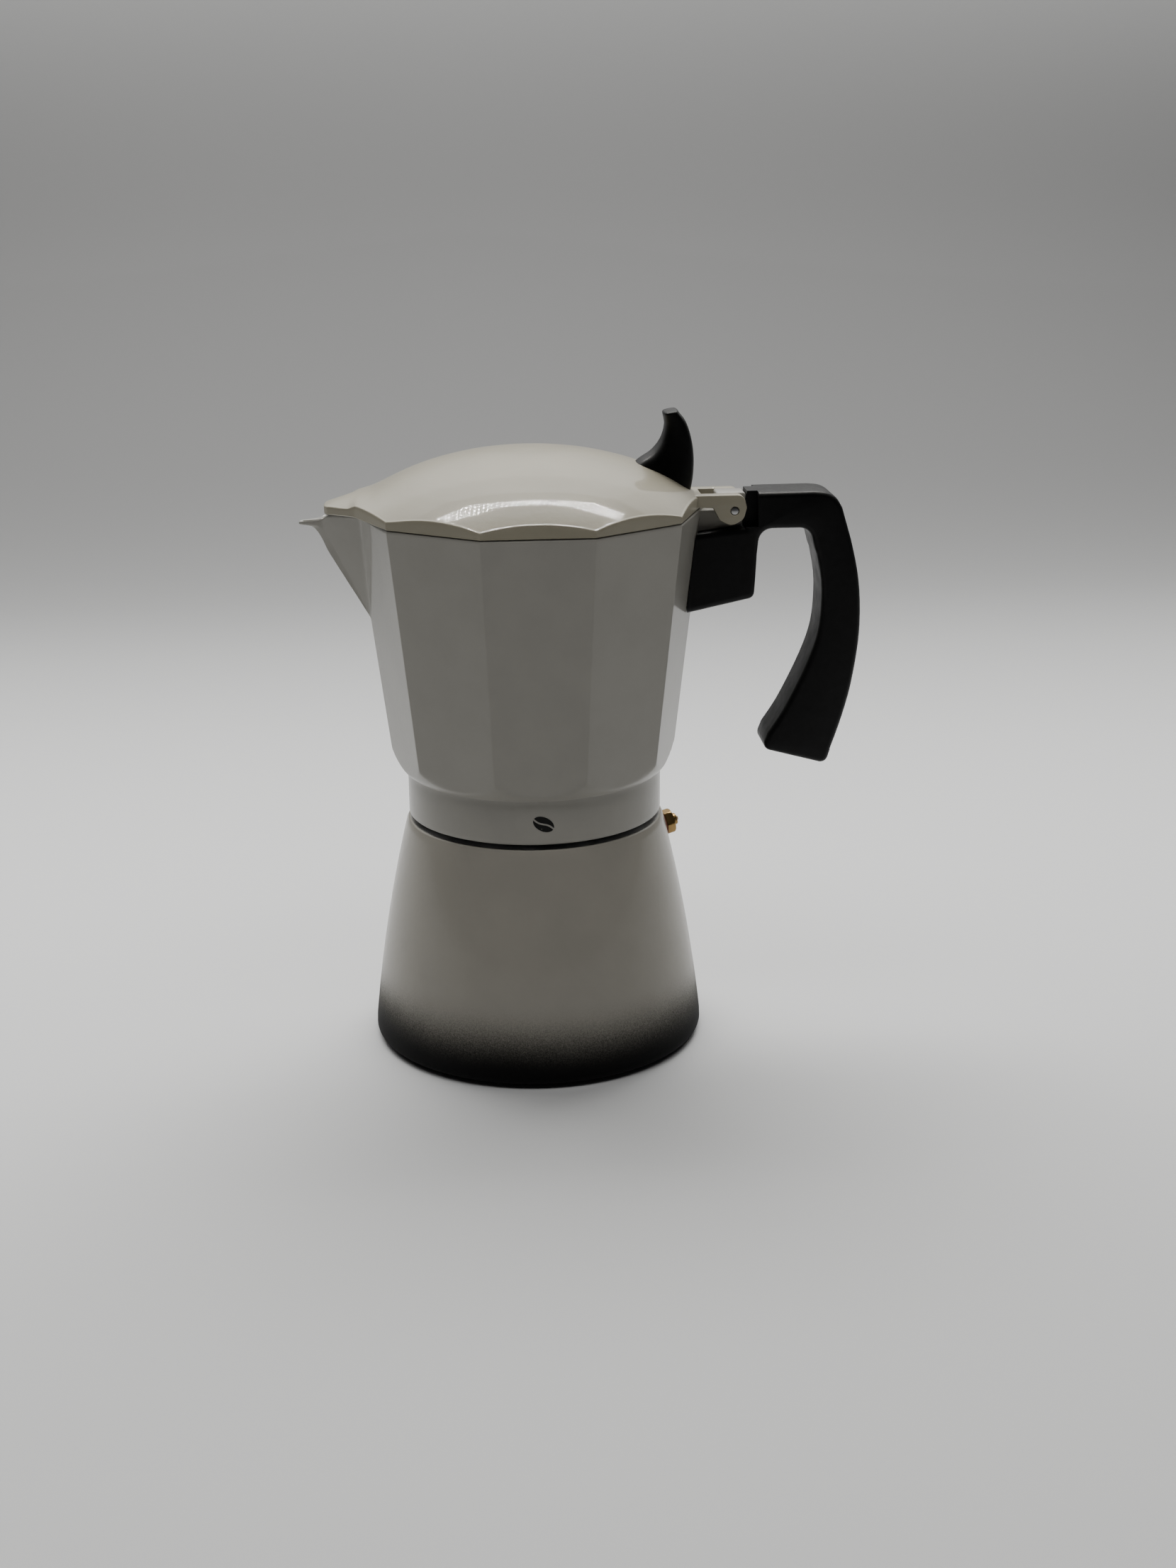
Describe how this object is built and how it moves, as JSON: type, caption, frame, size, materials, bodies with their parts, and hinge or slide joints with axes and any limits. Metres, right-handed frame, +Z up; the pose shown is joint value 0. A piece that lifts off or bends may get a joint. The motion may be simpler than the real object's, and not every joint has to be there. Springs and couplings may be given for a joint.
{
  "type": "moka pot",
  "caption": "Stovetop moka pot: tapered round boiler, faceted collector with spout, domed hinged lid with a finger knob, hooked side handle.",
  "frame": {"origin": "centre of the base's underside, on the pot's axis", "axes": "+Z up along the pot's axis, +X towards the handle, -X towards the spout"},
  "size_m": [0.1722, 0.1058, 0.1997],
  "materials": {
    "boiler_paint": "glossy cream paint, fading in black speckles to a black foot",
    "collector_paint": "glossy cream paint, bare metal inside",
    "lid_paint": "glossy cream paint",
    "disc_steel": "turned",
    "valve_brass": "turned",
    "valve_fibre": "matt",
    "small_steel": "plain",
    "spun_aluminium": "spun, satin",
    "cast_aluminium": "as cast",
    "seal_silicone": "matt",
    "black_plastic": "fine grain"
  },
  "bodies": {
    "boiler": {"boiler": "boiler_paint", "base_disc": "disc_steel", "valve_body": "valve_brass", "valve_washer": "valve_fibre", "valve_spring": "small_steel", "valve_cap": "valve_brass"},
    "valve_plunger": {"valve_plunger": "valve_brass"},
    "funnel": {"funnel": "spun_aluminium", "funnel_screen": "spun_aluminium"},
    "gasket": {"gasket": "seal_silicone"},
    "filter_plate": {"filter_plate": "spun_aluminium"},
    "collector": {"collector": "collector_paint", "riser_column": "cast_aluminium", "handle": "black_plastic", "handle_screw": "small_steel", "handle_washer": "small_steel", "hinge_pin": "small_steel"},
    "lid": {"lid": "lid_paint", "knob": "black_plastic", "knob_screw": "small_steel", "knob_washer": "small_steel"}
  },
  "joints": [
    {"name": "valve_push", "type": "slide", "parent": "boiler", "child": "valve_plunger", "axis": [0.9523, 0.2024, 0.2285], "range_m": [0, 0.0008], "stiffness_N_per_m": 200, "springref_m": -0.002},
    {"name": "funnel_lift", "type": "slide", "parent": "boiler", "child": "funnel", "axis": [0, 0, 1], "range_m": [0, 0.1]},
    {"name": "collector_lift", "type": "slide", "parent": "boiler", "child": "gasket", "axis": [0, 0, 1], "range_m": [0, 0.2]},
    {"name": "collector_rise", "type": "slide", "parent": "gasket", "child": "filter_plate", "axis": [0, 0, 1], "range_m": [0, 0.0045]},
    {"name": "collector_turn", "type": "hinge", "parent": "filter_plate", "child": "collector", "pos_m": [0, 0, 0.09], "axis": [0, 0, 1], "range_deg": [0, 540]},
    {"name": "lid_hinge", "type": "hinge", "parent": "collector", "child": "lid", "pos_m": [0.0622, 0, 0.1697], "axis": [0, 1, 0], "range_deg": [0, 105]}
  ],
  "couplings": [
    {"joint": "collector_rise", "follows": "collector_turn", "m_per_rad": 0.00047746},
    {"joint": "funnel_lift", "follows": "collector_lift", "ratio": 0.5}
  ]
}
